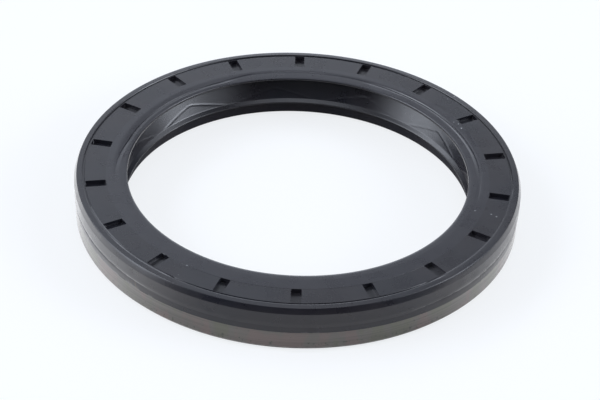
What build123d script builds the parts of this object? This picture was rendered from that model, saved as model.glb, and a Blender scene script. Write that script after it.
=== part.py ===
from build123d import *
from math import radians, tan
import os

# Radial shaft seal for a 110 mm shaft in a 140 mm housing, 16 mm wide: a sprung sealing
# lip, a dust lip, and an outer wall that is rubber towards the air side and bare steel
# towards the oil side. Millimetres. The axis of the shaft is Z, the oil side is at z = 0,
# and the air-side face looks up. Lip and wall radii are those of the free seal, before
# the shaft stretches the lips and the housing squeezes the wall.

# Where the seal goes
shaft_radius = 55.0
radial_space = 15.0       # from the shaft to the wall of the housing
seal_height = 15.8        # oil-side rim to air-side face, 16 mm nominal

# Steel case: a drawn cup with a flange under the air-side face
case_sheet = 1.8          # sheet thickness
case_band = 6.9           # height of the bare band, which seats in the housing
case_step = 1.2           # the covered wall stands this far inside the bare band
case_step_rise = 1.3      # axial length of that step
case_step_round = 0.5     # rounding of the step's corners
case_lead_radial = 1.4    # lead-in chamfer at the oil-side rim
case_lead_axial = 1.6
case_bend = 0.7           # inside radius where the wall turns into the flange
flange_clearance = 4.4    # from the shaft to the hole in the flange

# Rubber moulded round the case
cover_squeeze = 0.3       # the free rubber wall is this much larger than the housing
cover_low_squeeze = 0.15  # and the band at its lower edge this much
cover_low_height = 2.1    # height of that band
cover_groove_width = 0.9  # shallow groove above it
cover_groove_depth = 0.35
face_cover = 1.6          # rubber over the flange
face_lead_radial = 0.8    # long chamfer that leads the seal into its bore
face_lead_axial = 1.9
face_lead_round = 0.5
under_cover = 0.7         # rubber lapped under the flange
under_cover_reach = 3.4   # how far it runs out from the flange's hole

# The face lies a little below its outer rim, with a fine groove between them. The mould's
# support pins leave pockets in it.
rim_reach = 3.0           # from the face's edge to the housing
rim_height = 0.15
trim_groove_width = 0.75
trim_groove_depth = 0.35  # below the face
slot_outer_margin = 0.1   # from each pocket to the groove
slot_inner_margin = 1.1   # and to the flange's hole
slot_width = 3.1
slot_count = 18
slot_first_angle = 10.0

# Dust lip, level with the face
dust_lip_squeeze = 1.3    # how far its edge lies inside the shaft's surface
dust_lip_fall = 0.1       # its top falls this much towards the edge
dust_lip_land = 1.0       # height of its edge
dust_lip_round = 0.45     # rounding of the edge's upper corner
dust_lip_depth = 1.7      # its thickness near the root
hinge_groove_reach = 2.6  # from the shaft to the groove that lets it flex
hinge_groove_width = 1.3
hinge_groove_steep = 0.2  # its outer side is steep, its inner side rises gently
hinge_groove_depth = 0.3

# Sealing lip
lip_squeeze = 0.85        # how far the sealing edge lies inside the shaft's surface
lip_height = 5.4          # sealing edge above the oil-side rim
lip_land = 0.3            # height of the edge itself
shoulder_step = 1.05      # flank on the air side of the edge, radially
shoulder_rise = 0.7
air_angle = 28.0          # slope of the wall above that shoulder, from the axis
wall_top_drop = 3.4       # from the face to where the wall curves into the dust lip
wall_top_round = 0.9
oil_bevel = 1.3           # 45 degree flank below the sealing edge
toe_floor = 0.8           # underside of the lip above the oil-side rim
toe_width = 2.0
toe_round = 0.5
membrane = 1.6            # flexible wall between the lip and the flange
membrane_round = 1.0

# Garter spring, in a groove round the back of the sealing lip
spring_coil_radius = 1.35
spring_reach = 4.3        # from the sealing edge out to the spring's centre line
spring_offset = 0.8       # the spring sits this much nearer the air side
spring_clearance = 0.05
groove_wall = 0.5         # rubber above and below the spring
groove_lip = 0.65         # rubber past the spring's centre line, so that it snaps in

# Pumping ribs on the wall above the sealing edge, in pairs that meet in a point
rib_pairs = 12
rib_first_angle = 8.85
rib_half_angle = 12.7     # from the point to each foot
rib_rise = 3.4
rib_width = 0.8
rib_height = 0.22


def ring(*corners):
    # Turns a closed section about Z. Each corner is (radius, height, rounding), and a
    # rounding takes no more than the shorter side beside it leaves.
    points = [Vector(r, z) for r, z, _ in corners]
    roundings = []
    for k, (_, _, rounding) in enumerate(corners):
        before = points[k - 1] - points[k]
        after = points[(k + 1) % len(points)] - points[k]
        half_turn = radians(before.get_angle(after)) / 2
        room = 0.45 * min(before.length, after.length) * tan(half_turn)
        roundings.append(min(rounding, room))
    outline = FilletPolyline(*points, radius=roundings, close=True)
    return revolve(Plane.XZ * make_face(outline), Axis.Z)


# ---------------------------------------------------------------- steel case
case_radius = shaft_radius + radial_space
covered_radius = case_radius - case_step
step_top = case_band + case_step_rise
flange_top = seal_height - face_cover
flange_bottom = flange_top - case_sheet
flange_bore = shaft_radius + flange_clearance

steel_case = ring(
    (case_radius - case_sheet, 0, 0),
    (case_radius - case_lead_radial, 0, 0),
    (case_radius, case_lead_axial, 0),
    (case_radius, case_band, 0),
    (covered_radius, step_top, case_step_round),
    (covered_radius, flange_top, case_bend + case_sheet),
    (flange_bore, flange_top, 0),
    (flange_bore, flange_bottom, 0),
    (covered_radius - case_sheet, flange_bottom, case_bend),
    (covered_radius - case_sheet, step_top, case_step_round),
    (case_radius - case_sheet, case_band, case_step_round),
)

# ---------------------------------------------------------------- garter spring
lip_radius = shaft_radius - lip_squeeze
spring_radius = lip_radius + spring_reach
spring_height = lip_height + spring_offset
coil = Pos(spring_radius, spring_height) * Circle(spring_coil_radius)
garter_spring = revolve(Plane.XZ * coil, Axis.Z)

# ---------------------------------------------------------------- rubber body
# Face and outer wall. The case is taken out of them further down.
hinge_groove = shaft_radius + hinge_groove_reach
under_face = flange_bottom - under_cover
cover_radius = case_radius + cover_squeeze
cover_low_radius = case_radius + cover_low_squeeze
groove_low = case_band + cover_low_height
cover = ring(
    (case_radius, case_band, 0),
    (cover_low_radius, case_band + cover_low_squeeze, 0),
    (cover_low_radius, groove_low, 0),
    (cover_radius - cover_groove_depth, groove_low + cover_groove_width / 2, 0),
    (cover_radius, groove_low + cover_groove_width, 0),
    (cover_radius, seal_height - face_lead_axial, face_lead_round),
    (cover_radius - face_lead_radial, seal_height, 0),
    (flange_bore - under_cover, seal_height, 0),
    (flange_bore - under_cover, under_face, 0),
    (flange_bore + under_cover_reach, under_face, under_cover / 2),
    (flange_bore + under_cover_reach, flange_bottom, 0),
    (covered_radius - case_sheet / 2, flange_bottom, 0),
    (covered_radius - case_sheet / 2, step_top, 0),
)


def wall_radius(z):
    # The sealing lip's inner wall at height z, above its shoulder
    return shoulder_radius + (z - shoulder_height) * tan(radians(air_angle))


# Both lips and the membrane in one section: from the dust lip's edge over the top, down
# the back of the membrane, round the spring's groove and the toe, and up the inside.
dust_lip_radius = shaft_radius - dust_lip_squeeze
dust_top = seal_height - rim_height
shoulder_radius = lip_radius + shoulder_step
shoulder_height = lip_height + shoulder_rise
wall_top = seal_height - wall_top_drop
bead_radius = lip_radius + oil_bevel
groove_half = spring_coil_radius + spring_clearance + groove_wall
groove_face = spring_radius + groove_lip
membrane_low = spring_height + groove_half + membrane
lips = ring(
    (dust_lip_radius, dust_top - dust_lip_fall, dust_lip_round),
    (hinge_groove - hinge_groove_width, dust_top, 0),
    (flange_bore, dust_top, 0),
    (flange_bore, flange_bottom, 0),
    (wall_radius(flange_bottom) + membrane, flange_bottom, 0),
    (wall_radius(membrane_low) + membrane, membrane_low, membrane_round),
    (groove_face, spring_height + groove_half, toe_round),
    (groove_face, spring_height - groove_half, toe_round),
    (bead_radius + toe_width, toe_floor, toe_round),
    (bead_radius, toe_floor, toe_round),
    (bead_radius, lip_height - lip_land / 2 - oil_bevel, 0),
    (lip_radius, lip_height - lip_land / 2, 0),
    (lip_radius, lip_height + lip_land / 2, 0),
    (shoulder_radius, shoulder_height, 0),
    (wall_radius(wall_top), wall_top, wall_top_round),
    (wall_radius(wall_top) - dust_lip_depth / 2, dust_top - dust_lip_depth, wall_top_round),
    (dust_lip_radius, dust_top - dust_lip_fall - dust_lip_land, 0.2),
)
rubber_body = cover + lips - steel_case

# Groove for the spring, and the face with its two grooves: the dust lip's hinge and the
# fine one along the rim
seat = Pos(spring_radius, spring_height) * Circle(spring_coil_radius + spring_clearance)
rubber_body -= revolve(Plane.XZ * seat, Axis.Z)
face_edge = case_radius - rim_reach
rubber_body -= ring(
    (hinge_groove - hinge_groove_width, dust_top, 0),
    (hinge_groove - hinge_groove_steep, dust_top - hinge_groove_depth, 0),
    (hinge_groove, dust_top, 0),
    (face_edge, dust_top, 0),
    (face_edge + trim_groove_width / 2, dust_top - trim_groove_depth, 0),
    (face_edge + trim_groove_width, seal_height, 0),
    (face_edge + trim_groove_width, seal_height + face_cover, 0),
    (hinge_groove - hinge_groove_width, seal_height + face_cover, 0),
)

# Pockets down to the flange
slot_inner, slot_outer = flange_bore + slot_inner_margin, face_edge - slot_outer_margin
pocket_box = Box(slot_outer - slot_inner, slot_width, face_cover)
pocket = Pos(0, 0, flange_top + face_cover / 2) * pocket_box
rubber_body -= [
    place * pocket
    for place in PolarLocations((slot_inner + slot_outer) / 2, slot_count, slot_first_angle)
]

# Pumping ribs: each pair is a bent strip, cut out of a thin skin on the wall
rib_low, rib_high = shoulder_height, shoulder_height + rib_rise + rib_width
skin = ring(
    (wall_radius(rib_low) - rib_height, rib_low, 0),
    (wall_radius(rib_high) - rib_height, rib_high, 0),
    (wall_radius(rib_high) + rib_height, rib_high, 0),
    (wall_radius(rib_low) + rib_height, rib_low, 0),
)
rib_foot = shoulder_radius * tan(radians(rib_half_angle))
bend = Polyline((-rib_foot, rib_low), (0, rib_low + rib_rise), (rib_foot, rib_low))
rib_pair = extrude(Plane.YZ * trace(bend, line_width=rib_width), flange_bore) & skin
rubber_body += [place * rib_pair for place in PolarLocations(0, rib_pairs, rib_first_angle)]

# ---------------------------------------------------------------- output
os.makedirs("parts", exist_ok=True)
for name, shape in (("steel_case", steel_case), ("rubber_body", rubber_body),
                    ("garter_spring", garter_spring)):
    shape.label = name
    export_step(shape, f"parts/{name}.step")
    print(name, "solids", len(shape.solids()), "volume %.1f" % shape.volume)
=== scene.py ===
import bpy
import math
import numpy as np
from mathutils import Matrix, Vector


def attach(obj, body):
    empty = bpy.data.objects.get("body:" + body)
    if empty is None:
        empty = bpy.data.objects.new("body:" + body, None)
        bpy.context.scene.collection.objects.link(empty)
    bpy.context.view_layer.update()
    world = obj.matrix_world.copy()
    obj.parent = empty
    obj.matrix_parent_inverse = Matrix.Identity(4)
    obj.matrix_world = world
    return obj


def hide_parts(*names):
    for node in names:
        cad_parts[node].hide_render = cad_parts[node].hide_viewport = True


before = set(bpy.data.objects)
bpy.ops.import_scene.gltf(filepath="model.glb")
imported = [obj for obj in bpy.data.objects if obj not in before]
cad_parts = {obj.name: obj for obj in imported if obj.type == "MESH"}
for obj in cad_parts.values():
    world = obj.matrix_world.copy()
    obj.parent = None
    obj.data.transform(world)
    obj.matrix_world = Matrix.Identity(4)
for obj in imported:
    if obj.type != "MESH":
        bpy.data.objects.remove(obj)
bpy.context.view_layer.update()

mm = 0.001
sharpAngle = math.radians(48)
scene = bpy.context.scene


# Camera
cameraPlace = {
    "position": (-0.00853, -0.52539, 0.38490),
    "target": (0.0, 0.0, 0.0),
    "roll": math.radians(2.476),
    "lens": 122.283,
    "sensor": 36.0,
    "shift": (0.00601, 0.01598),
    "clip": (0.01, 50.0),
}


def addCamera(place):
    data = bpy.data.cameras.new("camera")
    data.sensor_width = place["sensor"]
    data.lens = place["lens"]
    data.shift_x, data.shift_y = place["shift"]
    data.clip_start, data.clip_end = place["clip"]
    cam = bpy.data.objects.new("camera", data)
    scene.collection.objects.link(cam)
    forward = (Vector(place["target"]) - Vector(place["position"])).normalized()
    right = forward.cross(Vector((0, 0, 1))).normalized()
    up = right.cross(forward)
    c, s = math.cos(place["roll"]), math.sin(place["roll"])
    axisX, axisY = c * right + s * up, c * up - s * right
    turn = Matrix((axisX, axisY, -forward)).transposed()
    cam.matrix_world = Matrix.Translation(place["position"]) @ turn.to_4x4()
    scene.camera = cam


addCamera(cameraPlace)
print("camera placed")


# Sections and rings
arcLimits = (0.06, 0.25, 0.6)  # a rounding larger than each gets one piece more, mm


def roundedSection(corners):
    # A closed outline of (radius, height) with its corners rounded, more finely where the
    # rounding is large. A corner is (radius, height, rounding, pieces of the next side).
    out = []
    count = len(corners)
    for k, (r, z, rounding, pieces) in enumerate(corners):
        here = np.array((r, z), float)
        before = np.array(corners[k - 1][:2], float) - here
        after = np.array(corners[(k + 1) % count][:2], float) - here
        if rounding > 0:
            a, b = before / np.linalg.norm(before), after / np.linalg.norm(after)
            half = math.acos(max(-1.0, min(1.0, float(a @ b)))) / 2
            setback = min(rounding / math.tan(half),
                          0.49 * min(np.linalg.norm(before), np.linalg.norm(after)))
            start, end = here + a * setback, here + b * setback
            arcSteps = 1 + sum(rounding > limit for limit in arcLimits)
            for step in range(arcSteps + 1):
                t = step / arcSteps
                # A conic through both ends, equal to the circle's arc
                share0, share2 = (1 - t) ** 2, t ** 2
                share1 = 2 * t * (1 - t) * math.sin(half)
                point = share0 * start + share1 * here + share2 * end
                out.append(point / (share0 + share1 + share2))
        else:
            out.append(here)
        out.append(("side", pieces))
    points = []
    for k, item in enumerate(out):
        if isinstance(item, tuple):
            start = out[k - 1]
            end = out[(k + 1) % len(out)]
            for step in range(1, item[1]):
                points.append(start + (end - start) * step / item[1])
        else:
            points.append(item)
    return np.array(points)


def ringMesh(name, section, angleAt, columns, shape=None):
    # Turns a closed section about Z. angleAt(column, radius) gives each point's angle, so
    # columns may run parallel to a pocket. shape(r, angle, z) may move the points.
    rows = len(section)
    r = np.repeat(section[None, :, 0], columns, 0)
    z = np.repeat(section[None, :, 1], columns, 0)
    angle = angleAt(np.arange(columns)[:, None], r)
    if shape:
        r, angle, z = shape(r, angle, z)
    co = np.stack([r * np.cos(angle), r * np.sin(angle), z], -1) * mm
    index = np.arange(columns * rows).reshape(columns, rows)
    nextColumn, nextRow = np.roll(index, -1, 0), np.roll(index, -1, 1)
    both = np.roll(nextColumn, -1, 1)
    quads = np.stack([index, nextColumn, both, nextRow], -1).reshape(-1, 4)
    area = 0.5 * np.sum(section[:, 0] * np.roll(section[:, 1], -1)
                        - np.roll(section[:, 0], -1) * section[:, 1])
    if area > 0:
        quads = quads[:, ::-1]
    mesh = bpy.data.meshes.new(name)
    mesh.from_pydata(co.reshape(-1, 3).tolist(), [], quads.tolist())
    mesh.validate()
    obj = bpy.data.objects.new(name, mesh)
    scene.collection.objects.link(obj)
    return obj


def evenColumns(columns):
    return lambda column, r: column * (2 * math.pi / columns) + 0 * r


def smoothNoise(angle, waves, seed):
    # A repeatable wavy line round the ring, between about -1 and 1.
    draw = np.random.default_rng(seed)
    total = 0 * angle
    for wave in waves:
        total = total + draw.uniform(0.5, 1.0) * np.sin(wave * angle + draw.uniform(0, 6.283))
    return total / (0.75 * math.sqrt(len(waves)) * 1.4)


# Node helpers
def addNode(tree, kind, inputs=(), **settings):
    node = tree.nodes.new(kind)
    for key, value in settings.items():
        setattr(node, key, value)
    for key, value in dict(inputs).items():
        if isinstance(value, bpy.types.NodeSocket):
            tree.links.new(value, node.inputs[key])
        else:
            node.inputs[key].default_value = value
    return node


def calc(tree, operation, *values):
    node = addNode(tree, "ShaderNodeMath", enumerate(values), operation=operation)
    return node.outputs[0]


def remap(tree, value, low, high, toLow=0.0, toHigh=1.0):
    node = addNode(tree, "ShaderNodeMapRange",
                   {"Value": value, "From Min": low, "From Max": high,
                    "To Min": toLow, "To Max": toHigh}, interpolation_type="SMOOTHSTEP")
    return node.outputs[0]


def newGeometryTree(name, sockets):
    tree = bpy.data.node_groups.new(name, "GeometryNodeTree")
    tree.interface.new_socket("Geometry", in_out="INPUT", socket_type="NodeSocketGeometry")
    tree.interface.new_socket("Geometry", in_out="OUTPUT", socket_type="NodeSocketGeometry")
    for label, value in sockets.items():
        kind = "NodeSocketInt" if isinstance(value, int) else "NodeSocketFloat"
        socket = tree.interface.new_socket(label, in_out="INPUT", socket_type=kind)
        socket.default_value = value
    source = tree.nodes.new("NodeGroupInput")
    return tree, {s.name: s for s in source.outputs if s.name}


def endTree(tree, geometry, material):
    real = addNode(tree, "GeometryNodeRealizeInstances", {"Geometry": geometry})
    coat = addNode(tree, "GeometryNodeSetMaterial", {"Geometry": real.outputs[0]})
    coat.inputs["Material"].default_value = material
    out = tree.nodes.new("NodeGroupOutput")
    tree.links.new(coat.outputs[0], out.inputs[0])


def runTree(obj, tree, values):
    # Sets the named inputs by their identifiers, then keeps the result as a plain mesh.
    modifier = obj.modifiers.new(tree.name, "NODES")
    modifier.node_group = tree
    for item in tree.interface.items_tree:
        if item.item_type == "SOCKET" and item.in_out == "INPUT" and item.name in values:
            modifier[item.identifier] = values[item.name]
    bpy.context.view_layer.update()
    graph = bpy.context.evaluated_depsgraph_get()
    made = bpy.data.meshes.new_from_object(obj.evaluated_get(graph))
    obj.modifiers.remove(modifier)
    made.name = obj.name
    obj.data = made


def wrapped(tree, angle, first, count):
    # The angle from the nearest of evenly spaced places round the ring.
    period = calc(tree, "DIVIDE", 2 * math.pi, count)
    turns = calc(tree, "DIVIDE", calc(tree, "SUBTRACT", angle, first), period)
    nearest = calc(tree, "ROUND", turns)
    return calc(tree, "MULTIPLY", calc(tree, "SUBTRACT", turns, nearest), period)


def polar(tree):
    place = addNode(tree, "GeometryNodeInputPosition")
    split = addNode(tree, "ShaderNodeSeparateXYZ", {0: place.outputs[0]})
    x, y, z = split.outputs
    radius = calc(tree, "SQRT", calc(tree, "ADD", calc(tree, "MULTIPLY", x, x),
                                     calc(tree, "MULTIPLY", y, y)))
    return x, y, z, radius, calc(tree, "ARCTAN2", y, x)


# Materials
def newMaterial(name):
    material = bpy.data.materials.new(name)
    material.use_nodes = True
    tree = material.node_tree
    tree.nodes.clear()
    shader = tree.nodes.new("ShaderNodeBsdfPrincipled")
    out = tree.nodes.new("ShaderNodeOutputMaterial")
    tree.links.new(shader.outputs[0], out.inputs[0])
    return material, tree, shader


def mixColour(tree, factor, first, second):
    node = tree.nodes.new("ShaderNodeMix")
    node.data_type = "RGBA"
    for key, value in ((0, factor), (6, first), (7, second)):
        if isinstance(value, bpy.types.NodeSocket):
            tree.links.new(value, node.inputs[key])
        else:
            node.inputs[key].default_value = value
    return node.outputs[2]


def noise(tree, vector, scale, detail=3.0, rough=0.5):
    node = addNode(tree, "ShaderNodeTexNoise",
                   {"Vector": vector, "Scale": scale, "Detail": detail, "Roughness": rough})
    return node.outputs[0]


def stretched(tree, vector, scale):
    return addNode(tree, "ShaderNodeMapping", {"Vector": vector, "Scale": scale}).outputs[0]


def addBump(tree, shader, height, strength, distance):
    bump = addNode(tree, "ShaderNodeBump",
                   {"Height": height, "Strength": strength, "Distance": distance})
    tree.links.new(bump.outputs[0], shader.inputs["Normal"])


# Rubber: colours and the principled shader's numbers
rubberFinish = {
    "colour": (0.0108, 0.0112, 0.0158, 1),
    "colourWarm": (0.0134, 0.0122, 0.0160, 1),
    # colour of the painted sheen inside the pockets' inner ends
    "innerSheenPaint": (0.0195, 0.0195, 0.0255, 1),
    "rust": (0.05, 0.036, 0.026, 1),
    "speck": (0.42, 0.43, 0.44, 1),
    "roughness": 0.3,
    "refraction": 1.36,
    "coatRefraction": 1.38,
    "coatRoughness": 0.17,
    "innerSheenShare": 0.7,
    "dullRoughness": 0.45,   # added where it is dull
    "grain": 0.35,             # shares of fine grain and of turned lay in the relief
    "lay": 0.65,
    "relief": (0.12, 0.0002),  # strength and height of the bump
}
# Where the rubber's look changes: pairs of a start and an end
rubberZone = {
    "sheenInsideLine": (60.4 * mm, 60.2 * mm),  # painted sheen: lighter rubber colour inside the pockets' inner ends, for their stronger reflection
    "topFaces": 15.2 * mm,
    "flank": (5.3 * mm, 5.0 * mm),         # dull flank under the sealing edge
    "lips": 57.0 * mm,                     # lips lie inside this radius
    "outerWall": 69.6 * mm,
    "chamfer": (13.8 * mm, 14.1 * mm),
    "front": (-52 * mm, -62 * mm),
    "side": (34 * mm, 46 * mm),
    "sideWear": 0.3,
}

# Marks on the rubber: degrees, radius, height and size in mm, and strength
rustSpot = ((226.5, 70.15, 7.7, 3.0, 0.8),)
paleSpecks = (
    (26.6, 59.3, 15.65, 0.4, 0.9), (29.1, 59.7, 15.65, 0.3, 0.7), (30.6, 58.9, 15.65, 0.35, 0.8),
    (41.1, 68.5, 15.8, 0.4, 0.5), (41.6, 66.0, 15.65, 0.3, 0.5), (341.1, 63.0, 15.65, 0.4, 0.5),
    (340.6, 64.8, 15.65, 0.4, 0.5), (341.1, 57.8, 15.65, 0.4, 0.5),
    (237.6, 60.4, 15.65, 0.35, 0.5), (238.1, 65.5, 15.65, 0.3, 0.4),
)
dullSmudges = (
    (42.6, 59.3, 15.65, 0.7, 0.8), (41.9, 59.9, 15.65, 0.7, 0.8), (41.1, 60.4, 15.65, 0.7, 0.8),
    (40.2, 60.7, 15.65, 0.7, 0.9), (39.3, 60.9, 15.65, 0.7, 0.9), (38.4, 61.0, 15.65, 0.7, 0.8),
    (37.5, 61.0, 15.65, 0.7, 0.7), (24.2, 59.9, 15.65, 0.8, 0.8), (23.3, 59.8, 15.65, 0.8, 0.9),
    (22.4, 59.6, 15.65, 0.8, 0.9), (21.5, 59.5, 15.65, 0.8, 0.9), (20.6, 59.4, 15.65, 0.8, 0.9),
    (19.7, 59.3, 15.65, 0.8, 0.8), (18.8, 59.3, 15.65, 0.7, 0.8), (17.9, 59.3, 15.65, 0.7, 0.8),
    (17.0, 59.4, 15.65, 0.7, 0.8), (16.1, 59.6, 15.65, 0.7, 0.7), (33.5, 59.2, 15.65, 1.5, 0.45),
    (145.1, 64.7, 15.65, 0.6, 0.5), (41.0, 67.8, 15.7, 0.7, 0.5), (222.5, 64.0, 15.65, 1.0, 0.35),
    (226.0, 70.2, 12.3, 1.6, 0.3), (249.0, 70.2, 10.6, 1.5, 0.3), (255.0, 70.2, 9.8, 1.4, 0.3),
    (274.0, 70.1, 8.2, 1.8, 0.3), (309.0, 70.2, 9.6, 1.8, 0.4), (314.0, 70.2, 12.5, 2.2, 0.35),
    (319.0, 70.2, 12.0, 2.0, 0.3), (325.0, 70.2, 10.5, 1.5, 0.4), (333.0, 70.2, 9.5, 1.5, 0.35),
    (337.0, 70.2, 12.5, 2.6, 0.35), (343.0, 70.2, 11.5, 3.2, 0.5), (346.0, 70.1, 8.0, 2.2, 0.5),
    (349.0, 70.2, 12.5, 3.0, 0.5),
)
markCore = 0.25  # each is full to this share of its size


def spotted(tree, place, marks):
    # The marks as one mask, strongest in the middle of each.
    total = 0.0
    for degrees, r, z, size, strength in marks:
        turn = math.radians(degrees)
        middle = (r * mm * math.cos(turn), r * mm * math.sin(turn), z * mm)
        away = addNode(tree, "ShaderNodeVectorMath", {0: place, 1: middle},
                       operation="DISTANCE").outputs["Value"]
        total = calc(tree, "MAXIMUM", total,
                     remap(tree, away, size * mm, markCore * size * mm, toHigh=strength))
    return total


def rubberMaterial(finish, zone):
    material, tree, shader = newMaterial("nitrileRubber")
    place = addNode(tree, "ShaderNodeTexCoord").outputs["Object"]
    patches = noise(tree, place, scale=55.0, detail=2.0)
    tint = mixColour(tree, remap(tree, patches, 0.35, 0.65),
                     finish["colour"], finish["colourWarm"])
    wobble = noise(tree, place, scale=900.0)
    fromAxis = addNode(tree, "ShaderNodeVectorMath", {0: place, 1: (1, 1, 0)},
                       operation="MULTIPLY").outputs[0]
    out = addNode(tree, "ShaderNodeVectorMath", {0: fromAxis},
                  operation="LENGTH").outputs["Value"]
    across, front, height = addNode(tree, "ShaderNodeSeparateXYZ", {0: place}).outputs
    # Painted sheen: the top face inside the pockets' inner ends gets a lighter colour, standing
    # in for its stronger reflection.
    inner = calc(tree, "MULTIPLY", remap(tree, out, *zone["sheenInsideLine"]),
                 calc(tree, "GREATER_THAN", height, zone["topFaces"]))
    tint = mixColour(tree, calc(tree, "MULTIPLY", inner, finish["innerSheenShare"]),
                     tint, finish["innerSheenPaint"])
    rusty = calc(tree, "MULTIPLY", remap(tree, wobble, 0.5, 0.62),
                 spotted(tree, place, rustSpot))
    tint = mixColour(tree, rusty, tint, finish["rust"])
    specks = calc(tree, "MULTIPLY", spotted(tree, place, paleSpecks),
                  remap(tree, wobble, 0.35, 0.55))
    tint = mixColour(tree, specks, tint, finish["speck"])
    tree.links.new(tint, shader.inputs["Base Color"])
    grain = noise(tree, place, scale=2600.0, rough=0.6)
    lay = noise(tree, stretched(tree, place, (60.0, 60.0, 900.0)), scale=1.0, detail=2.0)
    uneven = noise(tree, place, scale=160.0)
    rough = calc(tree, "ADD", remap(tree, uneven, 0.3, 0.7, toLow=-0.05, toHigh=0.06),
                 finish["roughness"])
    # The lip's trimmed flank below its edge is dull.
    dull = calc(tree, "MULTIPLY", remap(tree, height, *zone["flank"]),
                calc(tree, "LESS_THAN", out, zone["lips"]))
    rough = calc(tree, "ADD", rough, calc(tree, "MULTIPLY", dull, finish["dullRoughness"]))
    tree.links.new(rough, shader.inputs["Roughness"])
    smudges = calc(tree, "MULTIPLY", spotted(tree, place, dullSmudges),
                   remap(tree, wobble, 0.3, 0.6, toLow=0.5))
    gloss = calc(tree, "MULTIPLY", calc(tree, "SUBTRACT", 1.0, dull),
                 calc(tree, "SUBTRACT", 1.0, smudges))
    mottle = noise(tree, place, scale=380.0, detail=2.0)
    gloss = calc(tree, "MULTIPLY", gloss, remap(tree, mottle, 0.3, 0.7, toLow=0.94))
    # The front of the lead-in chamfer is rubbed dull, and the right of the wall a little.
    onWall = calc(tree, "GREATER_THAN", out, zone["outerWall"])
    chamfer = remap(tree, height, *zone["chamfer"])
    rubbed = calc(tree, "MULTIPLY", remap(tree, front, *zone["front"]), chamfer)
    worn = calc(tree, "MULTIPLY", remap(tree, across, *zone["side"], toHigh=zone["sideWear"]),
                calc(tree, "SUBTRACT", 1.0, chamfer))
    rubbed = calc(tree, "MULTIPLY", calc(tree, "ADD", rubbed, worn), onWall)
    gloss = calc(tree, "MULTIPLY", gloss, calc(tree, "SUBTRACT", 1.0, rubbed))
    tree.links.new(gloss, shader.inputs["Coat Weight"])
    relief = calc(tree, "ADD", calc(tree, "MULTIPLY", grain, finish["grain"]),
                  calc(tree, "MULTIPLY", lay, finish["lay"]))
    addBump(tree, shader, relief, *finish["relief"])
    shader.inputs["IOR"].default_value = finish["refraction"]
    shader.inputs["Coat IOR"].default_value = finish["coatRefraction"]
    shader.inputs["Coat Roughness"].default_value = finish["coatRoughness"]
    return material


steelFinish = {
    "colour": (0.104, 0.095, 0.081, 1),
    "colourGreen": (0.094, 0.094, 0.066, 1),
    "colourRed": (0.128, 0.094, 0.083, 1),
    "fleck": (0.03, 0.03, 0.02, 1),
    "bonded": (0.02, 0.02, 0.022, 1),
    "roughness": 0.36,
    "coat": 1.0,
    "coatRoughness": 0.15,
    "relief": (0.15, 0.0002),
}
# Dark flecks gather in a band near the chamfer: its height, half width and core.
fleckBand = {"height": 2.6 * mm, "reach": 1.4 * mm, "core": 0.2 * mm, "share": 0.11}


def steelMaterial(finish, flecked):
    material, tree, shader = newMaterial("phosphatedSteel")
    place = addNode(tree, "ShaderNodeTexCoord").outputs["Object"]
    drift = noise(tree, stretched(tree, place, (1.0, 1.0, 0.4)), scale=150.0, detail=2.0)
    warm = mixColour(tree, remap(tree, drift, 0.5, 0.61), finish["colour"], finish["colourRed"])
    tint = mixColour(tree, remap(tree, drift, 0.48, 0.37), warm, finish["colourGreen"])
    height = addNode(tree, "ShaderNodeSeparateXYZ", {0: place}).outputs[2]
    away = calc(tree, "ABSOLUTE", calc(tree, "SUBTRACT", height, flecked["height"]))
    band = remap(tree, away, flecked["reach"], flecked["core"], toHigh=flecked["share"])
    flecks = noise(tree, place, scale=1100.0, detail=2.0)
    flecks = remap(tree, calc(tree, "ADD", flecks, band), 0.68, 0.76, toHigh=0.75)
    tint = mixColour(tree, flecks, tint, finish["fleck"])
    streak = noise(tree, stretched(tree, place, (25.0, 25.0, 2200.0)), scale=1.0, rough=0.6)
    tint = mixColour(tree, remap(tree, streak, 0.35, 0.75, toHigh=0.35), tint, finish["bonded"])
    tree.links.new(tint, shader.inputs["Base Color"])
    rough = calc(tree, "ADD", remap(tree, streak, 0.3, 0.7, toLow=-0.05, toHigh=0.07),
                 finish["roughness"])
    tree.links.new(rough, shader.inputs["Roughness"])
    addBump(tree, shader, streak, *finish["relief"])
    shader.inputs["Coat Weight"].default_value = finish["coat"]
    shader.inputs["Coat Roughness"].default_value = finish["coatRoughness"]
    return material


springFinish = {
    "colour": (0.42, 0.40, 0.37, 1),
    "oiled": (0.252, 0.24, 0.222, 1),
    "roughness": 0.3,
}


def springMaterial(finish):
    material, tree, shader = newMaterial("springWire")
    place = addNode(tree, "ShaderNodeTexCoord").outputs["Object"]
    oil = noise(tree, place, scale=350.0)
    tint = mixColour(tree, remap(tree, oil, 0.4, 0.7), finish["colour"], finish["oiled"])
    tree.links.new(tint, shader.inputs["Base Color"])
    rough = calc(tree, "ADD", remap(tree, oil, 0.3, 0.7, toLow=-0.06, toHigh=0.08),
                 finish["roughness"])
    tree.links.new(rough, shader.inputs["Roughness"])
    shader.inputs["Metallic"].default_value = 1.0
    return material


rubber = rubberMaterial(rubberFinish, rubberZone)
steel = steelMaterial(steelFinish, fleckBand)
wire = springMaterial(springFinish)
print("materials made")


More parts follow.
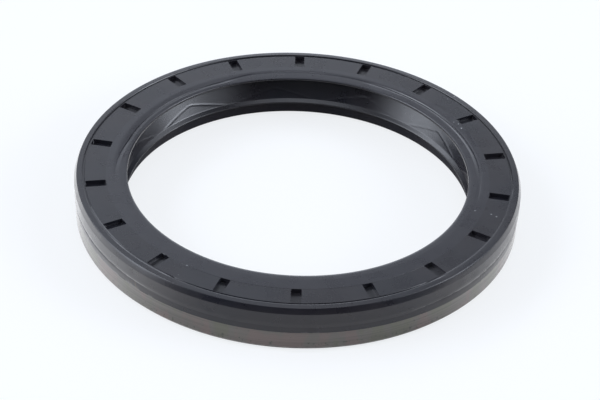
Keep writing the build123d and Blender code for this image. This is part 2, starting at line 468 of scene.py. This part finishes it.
# Rubber body, in mm
bodySize = {
    "band": 6.9,                     # nominal height of the bare steel
    "lowWall": (70.15, 7.05, 8.95),  # rubber above it: radius, lower and upper height
    "highWall": (70.3, 9.95, 13.9),  # and above its groove
    "wallFoot": (55.306, 6.3),       # where the sealing lip's wall starts
    "wallSlope": math.tan(math.radians(28.0)),
    "wallThick": 1.6,
    "caseBore": (59.4, 12.4, 14.2),  # flange hole, underside and top of the flange
    "springSeat": (58.45, 6.2, 1.4),
    "springOpening": 0.65,           # from the spring's middle out to the lip's back
    "face": (57.6, 67.0, 15.65),     # its inner and outer radius, and its height
    "rimFall": 0.035,                # slope of the rim's inside where its groove fades
    "pocketLine": (60.5, 0.08),      # radius and depth of the fine line on the face
    "onFace": 15.2,                  # what is higher belongs to the face
    "onOutside": 69.8,               # and what is further out to the outer wall
    "touch": 0.02,                   # tolerance on a row's place
    "hingeZone": (56.0, 57.64),      # each groove lies between two radii
    "trimZone": (67.06, 69.4),
    "lipZone": (57.4, 56.3),         # the dust lip drops in full inside the second
    "lipTop": 15.0,                  # and only what is higher
    "dents": 0.5,                    # unevenness of the lower groove
    "betweenPockets": 16,            # columns
    # Round the ring, by degrees: the height of the border between rubber and bare steel,
    # the depth of the groove above it and that of the dust lip's hinge, as shares.
    "border": ((90, 6.9), (180, 6.55), (205, 6.7), (225, 6.9), (240, 7.15), (262, 7.2),
               (270, 7.18), (273, 6.95), (276, 6.95), (279, 7.25), (290, 7.42),
               (302, 7.4), (315, 7.1), (345, 6.95)),
    "borderWander": 0.14,
    "groove": ((90, 0.6), (180, 0.7), (188, 1.25), (203, 1.6), (214, 1.3), (222, 0.6),
               (232, 0.2), (240, 0.0), (298, 0.0), (304, 0.7), (311, 0.7), (316, 0.2),
               (322, 0.5), (345, 0.5)),
    "hinge": ((0, 0.6), (15, 1.3), (60, 1.3), (70, 0.9), (110, 0.8), (118, 1.0),
              (168, 1.0), (180, 0.4), (188, 0.0), (345, 0.0)),
    "hingeShift": ((10, 0), (106, 0), (118, -1.4), (166, -1.5), (182, 0)),
    "lipDrop": ((50, 0), (66, 0.25), (112, 0.25), (124, 0)),
    "trim": ((2, 1.0), (160, 1.0), (185, 0.5), (215, 0.35), (222, 0.1), (234, 0.1),
             (241, 0.7), (250, 1.0), (296, 1.0), (303, 0.6), (311, 0.0), (350, 0.0)),
    "fineLine": ((232, 0.0), (240, 1.0), (258, 1.0), (275, 0.6), (300, 0.8), (312, 0.0)),
}
# Inputs of the node groups, in mm and radians
pocketSize = {
    "Count": 18, "First Angle": math.radians(10.0), "Width": 3.1, "Length": 6.4,
    "Middle Radius": 63.7, "Corner Round": 0.35, "Floor Height": 14.25,
    "Face Height": 15.8,
}
ribSize = {
    "Pairs": 12, "First Angle": math.radians(8.0), "Half Angle": math.radians(12.7),
    "Foot Height": bodySize["wallFoot"][1], "Rise": 3.2, "Width": 0.45, "Height": 0.07,
    "Spread": math.radians(2.5), "Wall Radius": bodySize["wallFoot"][0],
    "Wall Slope": bodySize["wallSlope"],
}
# How both fade at their edges
pocketEdge = {
    "side": (0.045 * mm, -0.085 * mm),  # the side falls between these, past the outline
    "below": 0.3,                       # mm under the face's height that still sink
}
ribEdge = {
    "share": (1.15, 0.25),              # of the half width, where it starts and is full
    "reach": 0.25 * mm,                 # only what is this near the wall is raised
    "fade": 0.35 * mm,                  # above the foot
}


def wallRadius(z):
    r, foot = bodySize["wallFoot"]
    return r + (z - foot) * bodySize["wallSlope"]


def springSeatArc(pieces):
    # The groove behind the lip, entered and left at the radius of the lip's back.
    r, z, size = bodySize["springSeat"]
    start = math.acos(bodySize["springOpening"] / size)
    turns = np.linspace(-start, start - 2 * math.pi, pieces + 1)
    return [(r + size * math.cos(t), z + size * math.sin(t), 0, 1) for t in turns]


def rubberSection():
    # From the rubber's lower edge up the wall, over the face and down inside both lips,
    # then up the back of the membrane and round the flange. Each corner is
    # (radius, height, rounding, pieces of the next side).
    lowR, lowFoot, lowTop = bodySize["lowWall"]
    highR, highFoot, highTop = bodySize["highWall"]
    boreR, under, top = bodySize["caseBore"]
    inner, outer, face = bodySize["face"]
    back = bodySize["wallThick"]
    wall = [
        (70.02, bodySize["band"], 0, 1), (lowR, lowFoot, 0, 3), (lowR, lowTop, 0.06, 2),
        (69.95, 9.45, 0.2, 2), (highR, highFoot, 0.06, 4), (highR, highTop, 0.35, 3),
    ]
    rim = [
        (69.5, 15.72, 0.15, 1), (69.28, 15.73, 0, 1), (68.0, 15.79, 0, 1),
        (67.75, 15.8, 0.06, 1), (67.6, 15.3, 0, 1), (67.12, 15.3, 0, 1),
    ]
    # Close rows at both ends of the pockets and beside the fine line keep them crisp.
    rows = ((66.94, 1), (66.9, 1), (66.86, 1), (66.81, 1), (66.6, 5), (60.8, 1),
            (60.6, 1), (60.54, 1), (60.5, 1), (60.455, 1), (60.4, 3))
    flat = [(outer, face, 0.04, 1), *((r, face, 0, pieces) for r, pieces in rows),
            (inner, face, 0.06, 1)]
    dustLip = [
        (57.4, 15.35, 0.08, 2), (56.3, face, 0.6, 3), (53.7, 15.55, 0.45, 2),
        (53.7, 14.55, 0.2, 2), (57.7, 13.95, 0.9, 1),
    ]
    # The rows from 10.3 to 6.6 are close enough to carry the ribs.
    sealingLip = [
        (58.55, 12.4, 0.9, 2), (wallRadius(10.3), 10.3, 0, 21), (wallRadius(6.6), 6.6, 0, 1),
        (*bodySize["wallFoot"], 0.05, 1), (55.22, 6.233, 0, 1), (54.35, 5.553, 0, 1),
        (54.15, 5.397, 0.25, 1), (54.15, 5.2, 0.04, 2), (55.45, 3.95, 0.06, 2),
        (55.45, 0.8, 0.4, 1), (57.45, 0.8, 0.4, 2),
    ]
    behind = [
        (59.1, 4.3, 0.3, 1), *springSeatArc(9), (59.1, 8.1, 0.3, 1),
        (wallRadius(9.7) + back, 9.7, 0.7, 1), (wallRadius(11.7) + back, 11.7, 0, 1),
    ]
    onFlange = [
        (62.8, 11.7, 0.3, 1), (62.8, under, 0, 1), (boreR, under, 0, 1), (boreR, top, 0, 2),
        (68.8, top, 2.5, 1), (68.8, 8.2, 0.3, 1),
    ]
    return roundedSection(wall + rim + flat + dustLip + sealingLip + behind + onFlange)


# Columns at a pocket, by their distance from its middle line in mm
pocketColumns = (-2.2, -1.66, -1.595, -1.55, -1.51, -1.465, -1.3, 0.0,
                 1.3, 1.465, 1.51, 1.55, 1.595, 1.66, 2.2)


def bodyColumns():
    # Columns lie close together along each pocket's sides and evenly between pockets.
    offsets = np.array(pocketColumns)
    between = bodySize["betweenPockets"]
    perSector = len(offsets) + between
    sector = 2 * math.pi / pocketSize["Count"]

    def angleAt(column, r):
        which, place = np.divmod(column, perSector)
        across = offsets[np.minimum(place, len(offsets) - 1)]
        inPocket = np.arcsin(across / r)
        edge = np.arcsin(offsets[-1] / r)
        share = (place - len(offsets) + 1) / (between + 1)
        free = edge + share * (sector - 2 * edge)
        local = np.where(place < len(offsets), inPocket, free)
        return pocketSize["First Angle"] + which * sector + local

    return angleAt, perSector * pocketSize["Count"]


def byDegrees(angle, table):
    where, value = zip(*table)
    return np.interp(np.degrees(angle) % 360, where, value, period=360)


def borderHeight(angle):
    ragged = smoothNoise(angle, (19, 31, 47, 83, 130), 4)
    return (byDegrees(angle, bodySize["border"])
            + bodySize["borderWander"] * np.clip(ragged, -1, 1))


def bodyShape(r, angle, z):
    lowR, lowFoot, lowTop = bodySize["lowWall"]
    highR, highFoot, _ = bodySize["highWall"]
    _, outer, face = bodySize["face"]
    band, touch = bodySize["band"], bodySize["touch"]
    onFace, onOutside = z > bodySize["onFace"], r > bodySize["onOutside"]
    # The rubber's lower edge on the steel isn't trimmed straight.
    nearEdge = onOutside & (z < lowFoot + touch)
    lift = np.clip((lowFoot - z) / (lowFoot - band), 0, 1)
    higher = np.where(nearEdge, z + (borderHeight(angle) - band) * lift, z)
    # Both grooves are worn unevenly, the lower one in small dents.
    full = lowR + (highR - lowR) * np.clip((z - lowTop) / (highFoot - lowTop), 0, 1)
    dents = 1 + bodySize["dents"] * smoothNoise(angle, (97, 131, 163), 9)
    share = byDegrees(angle, bodySize["groove"]) * dents
    inGroove = onOutside & (z > lowTop + touch) & (z < highFoot - touch)
    worn = np.where(inGroove, full - (full - r) * share, r)
    hingeFrom, hingeTo = bodySize["hingeZone"]
    inHinge = (r > hingeFrom) & (r < hingeTo) & onFace
    hinge = byDegrees(angle, bodySize["hinge"])
    higher = np.where(inHinge, face - (face - z) * hinge, higher)
    # The fine groove along the rim fades out in places, and a fine line joins the pockets'
    # inner ends.
    trimFrom, trimTo = bodySize["trimZone"]
    inTrim = (r > trimFrom) & (r < trimTo) & onFace
    level = face + bodySize["rimFall"] * (r - outer)
    higher = np.where(inTrim, level + (z - level) * byDegrees(angle, bodySize["trim"]), higher)
    lineR, lineDepth = bodySize["pocketLine"]
    onLine = (abs(r - lineR) < touch) & onFace
    higher = np.where(onLine, higher - lineDepth * byDegrees(angle, bodySize["fineLine"]), higher)
    # Towards the back the dust lip lies lower than the face.
    lipFrom, lipTo = bodySize["lipZone"]
    onLip = np.clip((lipFrom - r) / (lipFrom - lipTo), 0, 1) * (z > bodySize["lipTop"])
    higher = higher - onLip * byDegrees(angle, bodySize["lipDrop"])
    worn = np.where(inHinge, worn + byDegrees(angle, bodySize["hingeShift"]), worn)
    return worn, angle, higher


def pocketTree(material):
    tree, got = newGeometryTree("facePockets", pocketSize)
    x, y, z, radius, angle = polar(tree)
    local = wrapped(tree, angle, got["First Angle"], got["Count"])
    along = calc(tree, "SUBTRACT", calc(tree, "MULTIPLY", radius, calc(tree, "COSINE", local)),
                 calc(tree, "MULTIPLY", got["Middle Radius"], mm))
    across = calc(tree, "MULTIPLY", radius, calc(tree, "SINE", local))
    corner = calc(tree, "MULTIPLY", got["Corner Round"], mm)

    def past(value, size):
        half = calc(tree, "MULTIPLY", got[size], 0.5 * mm)
        return calc(tree, "SUBTRACT", calc(tree, "ABSOLUTE", value),
                    calc(tree, "SUBTRACT", half, corner))

    pastX, pastY = past(along, "Length"), past(across, "Width")
    outX, outY = calc(tree, "MAXIMUM", pastX, 0.0), calc(tree, "MAXIMUM", pastY, 0.0)
    reach = calc(tree, "SQRT", calc(tree, "ADD", calc(tree, "MULTIPLY", outX, outX),
                                    calc(tree, "MULTIPLY", outY, outY)))
    inside = calc(tree, "MINIMUM", calc(tree, "MAXIMUM", pastX, pastY), 0.0)
    distance = calc(tree, "SUBTRACT", calc(tree, "ADD", reach, inside), corner)
    sink = remap(tree, distance, *pocketEdge["side"])
    lowest = calc(tree, "SUBTRACT", got["Face Height"], pocketEdge["below"])
    onFace = calc(tree, "GREATER_THAN", z, calc(tree, "MULTIPLY", lowest, mm))
    drop = calc(tree, "SUBTRACT", calc(tree, "MULTIPLY", got["Floor Height"], mm), z)
    shift = calc(tree, "MULTIPLY", calc(tree, "MULTIPLY", drop, sink), onFace)
    offset = addNode(tree, "ShaderNodeCombineXYZ", {"Z": shift})
    moved = addNode(tree, "GeometryNodeSetPosition",
                    {"Geometry": got["Geometry"], "Offset": offset.outputs[0]})
    endTree(tree, moved.outputs[0], material)
    return tree


def ribTree(material):
    tree, got = newGeometryTree("pumpingRibs", ribSize)
    x, y, z, radius, angle = polar(tree)
    uneven = calc(tree, "ADD", angle,
                  calc(tree, "MULTIPLY", got["Spread"], calc(tree, "COSINE", angle)))
    local = calc(tree, "ABSOLUTE", wrapped(tree, uneven, got["First Angle"], got["Pairs"]))
    foot = calc(tree, "MULTIPLY", got["Foot Height"], mm)
    share = calc(tree, "SUBTRACT", 1.0, calc(tree, "DIVIDE", local, got["Half Angle"]))
    crest = calc(tree, "ADD", foot,
                 calc(tree, "MULTIPLY", share, calc(tree, "MULTIPLY", got["Rise"], mm)))
    away = calc(tree, "ABSOLUTE", calc(tree, "SUBTRACT", z, crest))
    half = calc(tree, "MULTIPLY", got["Width"], 0.5 * mm)
    swell = remap(tree, away, *(calc(tree, "MULTIPLY", half, v) for v in ribEdge["share"]))
    wall = calc(tree, "ADD", calc(tree, "MULTIPLY", got["Wall Radius"], mm),
                calc(tree, "MULTIPLY", calc(tree, "SUBTRACT", z, foot), got["Wall Slope"]))
    offWall = calc(tree, "ABSOLUTE", calc(tree, "SUBTRACT", radius, wall))
    onWall = calc(tree, "LESS_THAN", offWall, ribEdge["reach"])
    aboveFoot = remap(tree, calc(tree, "SUBTRACT", z, foot), 0.0, ribEdge["fade"])
    height = calc(tree, "MULTIPLY", calc(tree, "MULTIPLY", got["Height"], -mm), swell)
    height = calc(tree, "MULTIPLY", calc(tree, "MULTIPLY", height, onWall), aboveFoot)
    inward = calc(tree, "DIVIDE", height, radius)
    offset = addNode(tree, "ShaderNodeCombineXYZ",
                     {"X": calc(tree, "MULTIPLY", x, inward),
                      "Y": calc(tree, "MULTIPLY", y, inward)})
    moved = addNode(tree, "GeometryNodeSetPosition",
                    {"Geometry": got["Geometry"], "Offset": offset.outputs[0]})
    endTree(tree, moved.outputs[0], material)
    return tree


def addRubberBody():
    angleAt, columns = bodyColumns()
    obj = ringMesh("rubberBody", rubberSection(), angleAt, columns, bodyShape)
    runTree(obj, pocketTree(rubber), pocketSize)
    runTree(obj, ribTree(rubber), ribSize)
    obj.data.shade_smooth()
    obj.data.set_sharp_from_angle(angle=sharpAngle)
    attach(obj, "root")
    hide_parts("rubber_body")
    return obj


rubberBody = addRubberBody()
print("rubber body made")


# Steel case, in mm
caseSize = {
    "radius": 70.0,
    "sheet": 1.8,
    "chamfer": (1.4, 1.6),   # in and up
    "step": (1.2, 1.3),      # in and up, above the bare band
    "stepReach": 1.25,       # the shoulder follows the border this far up and down,
    "stepClear": 0.05,       # except within this of the covered wall
    "flange": (59.4, 14.2),  # its hole and its top
    "bend": (0.7, 2.5),      # inside and outside rounding
    "columns": 600,
}


def caseSection():
    # Corners as in rubberSection, from the foot's inner edge round the outside.
    outR, sheet, band = caseSize["radius"], caseSize["sheet"], bodySize["band"]
    chamferIn, chamferUp = caseSize["chamfer"]
    stepIn, stepUp = caseSize["step"]
    boreR, top = caseSize["flange"]
    bendIn, bendOut = caseSize["bend"]
    wallR, stepTop, under = outR - stepIn, band + stepUp, top - sheet
    return roundedSection([
        (outR - sheet, 0, 0.05, 1), (outR - chamferIn, 0, 0.15, 2),
        (outR, chamferUp, 0.25, 8), (outR, band, 0.1, 2), (wallR, stepTop, 0.5, 6),
        (wallR, top, bendOut, 6), (boreR, top, 0.1, 2), (boreR, under, 0.1, 6),
        (wallR - sheet, under, bendIn, 4), (wallR - sheet, stepTop, 0.5, 2),
        (outR - sheet, band, 0.5, 6),
    ])


def caseShape(r, angle, z):
    # The shoulder follows the rubber's edge.
    band = bodySize["band"]
    onOutside = r > caseSize["radius"] - caseSize["step"][0] + caseSize["stepClear"]
    near = np.clip(1 - abs(z - band) / caseSize["stepReach"], 0, 1) * onOutside
    return r, angle, z + near * (borderHeight(angle) - band)


def addCaseShell():
    obj = ringMesh("caseShell", caseSection(), evenColumns(caseSize["columns"]),
                   caseSize["columns"], caseShape)
    obj.data.materials.append(steel)
    obj.data.shade_smooth()
    obj.data.set_sharp_from_angle(angle=sharpAngle)
    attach(obj, "root")
    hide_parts("steel_case")
    return obj


caseShell = addCaseShell()
print("steel case made")


# Garter spring, in mm
springSize = {
    "Ring Radius": 58.45, "Ring Height": 6.2, "Coil Radius": 1.1, "Wire Radius": 0.25,
    "Turns": 730, "Steps": 10, "Sides": 5,
}


def springTree(material):
    tree, got = newGeometryTree("garterCoil", springSize)
    count = calc(tree, "MULTIPLY", got["Turns"], got["Steps"])
    path = addNode(tree, "GeometryNodeCurvePrimitiveCircle", {"Resolution": count})
    index = addNode(tree, "GeometryNodeInputIndex").outputs[0]
    share = calc(tree, "DIVIDE", index, count)
    ringTurn = calc(tree, "MULTIPLY", share, 2 * math.pi)
    coilTurn = calc(tree, "MULTIPLY", ringTurn, got["Turns"])
    coil = calc(tree, "MULTIPLY", got["Coil Radius"], mm)
    radius = calc(tree, "ADD", calc(tree, "MULTIPLY", got["Ring Radius"], mm),
                  calc(tree, "MULTIPLY", coil, calc(tree, "COSINE", coilTurn)))
    place = addNode(tree, "ShaderNodeCombineXYZ", {
        "X": calc(tree, "MULTIPLY", radius, calc(tree, "COSINE", ringTurn)),
        "Y": calc(tree, "MULTIPLY", radius, calc(tree, "SINE", ringTurn)),
        "Z": calc(tree, "ADD", calc(tree, "MULTIPLY", got["Ring Height"], mm),
                  calc(tree, "MULTIPLY", coil, calc(tree, "SINE", coilTurn))),
    })
    helix = addNode(tree, "GeometryNodeSetPosition",
                    {"Geometry": path.outputs[0], "Position": place.outputs[0]})
    profile = addNode(tree, "GeometryNodeCurvePrimitiveCircle",
                      {"Resolution": got["Sides"],
                       "Radius": calc(tree, "MULTIPLY", got["Wire Radius"], mm)})
    tube = addNode(tree, "GeometryNodeCurveToMesh",
                   {"Curve": helix.outputs[0], "Profile Curve": profile.outputs[0]})
    endTree(tree, tube.outputs[0], material)
    return tree


def addGarterSpring():
    obj = bpy.data.objects.new("garterSpring", bpy.data.meshes.new("garterSpring"))
    scene.collection.objects.link(obj)
    runTree(obj, springTree(wire), springSize)
    obj.data.shade_smooth()
    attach(obj, "root")
    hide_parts("garter_spring")
    return obj


garterSpring = addGarterSpring()
print("garter spring made")


# Floor and soft studio light, in metres
studio = {
    "floorHalf": 3.0,
    "floorColour": (0.73, 0.7, 0.665, 1),
    "floorShade": (0.7227, 0.693, 0.65835, 1),
    "floorSeen": (0.19, 0.2, 0.21, 1),       # its colour to the camera, under the glow
    "floorGlow": (0.97, 0.985, 1, 1),
    "floorRoughness": 0.9,
    "backdrop": 0.785,                       # glow that the camera sees
    # Glow in reflections: before and behind the ring it rises from one level to another
    # between two distances, and to either side it has a level of its own.
    "floorFront": (0.08, 0.16, 0.04, 0.24),
    "floorSide": 0.44,
    "sideShare": (0.5, 0.85),                # share of the distance that lies sideways
    "skyColour": (0.89, 0.945, 1.05, 1),
}
# Bright places on the floor, seen in reflections only: middle, reach and level
floorPlaces = ((-0.19, 0.03, 0.15, 1.6), (-0.072, -0.058, 0.046, 0.42))
# Each soft light: its direction and reach in degrees, round and up, and its strength
softLights = (
    ((190, 21), (35, 44), 4.9),
    ((355, 21), (28, 20), 6.9),
    ((343, 27), (44, 15), 5.6),
    ((167, 40), (97, 17), 4.6),
    ((88, 13), (46, 28), 2.15),
    ((266, 31), (58, 15), 0.3),
    ((84, 75), (44, 41), 2.4),
    ((158, 3), (26, 16), 2.1),
    ((20, 6), (20, 11), 1.5),
    ((22, 42), (70, 18), 2.2),
    ((270, 66), (100, 15), 2.6),
)


def addFloor():
    half = studio["floorHalf"]
    mesh = bpy.data.meshes.new("floor")
    mesh.from_pydata([(-half, -half, 0), (half, -half, 0), (half, half, 0), (-half, half, 0)],
                     [], [(0, 1, 2, 3)])
    obj = bpy.data.objects.new("floor", mesh)
    scene.collection.objects.link(obj)
    material, tree, shader = newMaterial("paleFloor")
    place = addNode(tree, "ShaderNodeTexCoord").outputs["Object"]
    rays = addNode(tree, "ShaderNodeLightPath").outputs
    shade = mixColour(tree, noise(tree, place, scale=6.0),
                      studio["floorColour"], studio["floorShade"])
    shade = mixColour(tree, rays["Is Camera Ray"], shade, studio["floorSeen"])
    tree.links.new(shade, shader.inputs["Base Color"])
    shader.inputs["Roughness"].default_value = studio["floorRoughness"]
    shader.inputs["Specular IOR Level"].default_value = 0.0
    shader.inputs["Emission Color"].default_value = studio["floorGlow"]
    away = addNode(tree, "ShaderNodeVectorMath", {0: place}, operation="LENGTH").outputs["Value"]
    across = addNode(tree, "ShaderNodeSeparateXYZ", {0: place}).outputs[0]
    side = remap(tree, calc(tree, "DIVIDE", calc(tree, "ABSOLUTE", across), away),
                 *studio["sideShare"])
    level = addNode(tree, "ShaderNodeMix", {0: side, 3: studio["floorSide"]})
    tree.links.new(remap(tree, away, *studio["floorFront"]), level.inputs[2])
    lifted = level.outputs[0]
    for x, y, reach, bright in floorPlaces:
        off = addNode(tree, "ShaderNodeVectorMath", {0: place, 1: (x, y, 0)},
                      operation="DISTANCE").outputs["Value"]
        lifted = calc(tree, "ADD", lifted, remap(tree, off, reach, 0.0, toHigh=bright))
    mirrored = calc(tree, "MULTIPLY", rays["Is Glossy Ray"], lifted)
    seen = calc(tree, "MULTIPLY", rays["Is Camera Ray"], studio["backdrop"])
    tree.links.new(calc(tree, "ADD", mirrored, seen), shader.inputs["Emission Strength"])
    mesh.materials.append(material)


def addWorld():
    world = bpy.data.worlds.new("studioWorld")
    scene.world = world
    world.use_nodes = True
    tree = world.node_tree
    tree.nodes.clear()
    direction = addNode(tree, "ShaderNodeTexCoord").outputs["Generated"]
    split = addNode(tree, "ShaderNodeSeparateXYZ", {0: direction})
    x, y, z = split.outputs
    azimuth, elevation = calc(tree, "ARCTAN2", y, x), calc(tree, "ARCSINE", z)
    level = 0.0
    for place, reach, strength in softLights:
        (turn, rise), (wide, high) = np.radians(place), np.radians(reach)
        turned = calc(tree, "WRAP", calc(tree, "SUBTRACT", azimuth, turn), math.pi, -math.pi)
        turned = calc(tree, "DIVIDE", turned, wide)
        risen = calc(tree, "DIVIDE", calc(tree, "SUBTRACT", elevation, rise), high)
        away = calc(tree, "SQRT", calc(tree, "ADD", calc(tree, "MULTIPLY", turned, turned),
                                       calc(tree, "MULTIPLY", risen, risen)))
        level = calc(tree, "ADD", level, remap(tree, away, 1.0, 0.0, toHigh=strength))
    path = addNode(tree, "ShaderNodeLightPath").outputs["Is Camera Ray"]
    level = calc(tree, "MAXIMUM", level, path)
    back = addNode(tree, "ShaderNodeBackground", {"Strength": level})
    back.inputs["Color"].default_value = studio["skyColour"]
    out = tree.nodes.new("ShaderNodeOutputWorld")
    tree.links.new(back.outputs[0], out.inputs[0])


addFloor()
addWorld()
scene.view_settings.view_transform = "Standard"
print("studio made")
